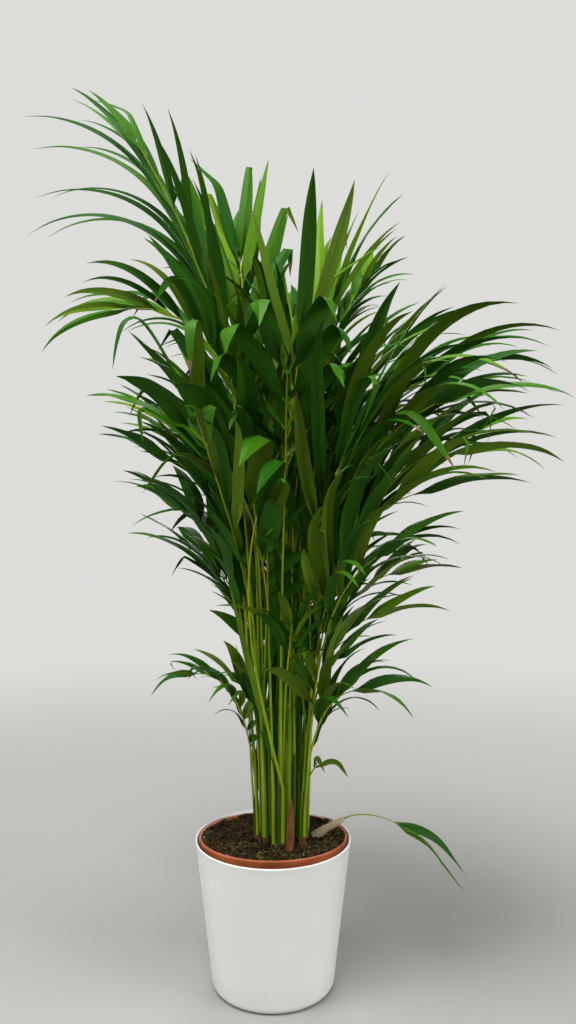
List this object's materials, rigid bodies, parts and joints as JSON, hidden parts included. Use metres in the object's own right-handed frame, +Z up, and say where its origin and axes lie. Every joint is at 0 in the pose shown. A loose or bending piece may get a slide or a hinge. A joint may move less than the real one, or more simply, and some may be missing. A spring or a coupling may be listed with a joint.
{
  "type": "potted areca palm",
  "caption": "Indoor areca palm with a clump of slender canes and arching feathered fronds, in its growing pot inside a plain white tapered outer pot",
  "frame": {"origin": "the middle of the outer pot's flat underside, on its axis", "axes": "+Z up along the pot's axis; -Y is the front that the picture shows; +X to the viewer's right"},
  "size_m": [0.7531, 0.5788, 1.2417],
  "materials": {
    "outer_pot": "smooth satin white",
    "growing_pot": "matt terracotta",
    "soil": "loose damp potting soil",
    "stems": "smooth waxy yellow-green",
    "dry_sheath": "dry papery beige",
    "brown_sheath": "dry brown",
    "fronds": "satin leaf"
  },
  "bodies": {
    "root": {"outer_pot": "outer_pot", "growing_pot": "growing_pot", "soil": "soil", "cane_01": "stems", "cane_02": "stems", "cane_03": "stems", "cane_04": "stems", "cane_05": "stems", "cane_06": "stems", "cane_07": "stems", "cane_08": "stems", "cane_09": "stems", "cane_10": "stems", "cane_11": "stems", "cane_12": "stems", "cane_13": "stems", "dry_sheath": "dry_sheath", "brown_sheath": "brown_sheath", "frond_top_right": "fronds", "frond_upper_left": "fronds", "frond_top_left": "fronds", "frond_top_middle": "fronds", "frond_upper_right": "fronds", "frond_high_right": "fronds", "frond_front_fan": "fronds", "frond_left_arch": "fronds", "frond_left_high": "fronds", "frond_left_fan": "fronds", "frond_left_middle": "fronds", "frond_left_low": "fronds", "frond_left_spread": "fronds", "frond_left_foot": "fronds", "frond_left_sprig": "fronds", "frond_right_high": "fronds", "frond_right_arch": "fronds", "frond_right_fan": "fronds", "frond_right_long": "fronds", "frond_right_middle": "fronds", "frond_right_low": "fronds", "frond_right_spread": "fronds", "frond_right_drape": "fronds", "frond_right_blade": "fronds", "frond_right_foot": "fronds", "frond_right_sprig": "fronds", "frond_front_left": "fronds", "frond_front_right": "fronds", "frond_front_low": "fronds", "frond_back_1_1": "fronds", "frond_back_1_2": "fronds", "frond_back_1_3": "fronds", "frond_back_2_1": "fronds", "frond_back_2_2": "fronds", "frond_back_2_3": "fronds", "frond_back_2_4": "fronds", "frond_back_3_1": "fronds", "frond_back_3_2": "fronds", "frond_back_3_3": "fronds", "frond_stray": "fronds"}
  },
  "joints": []
}
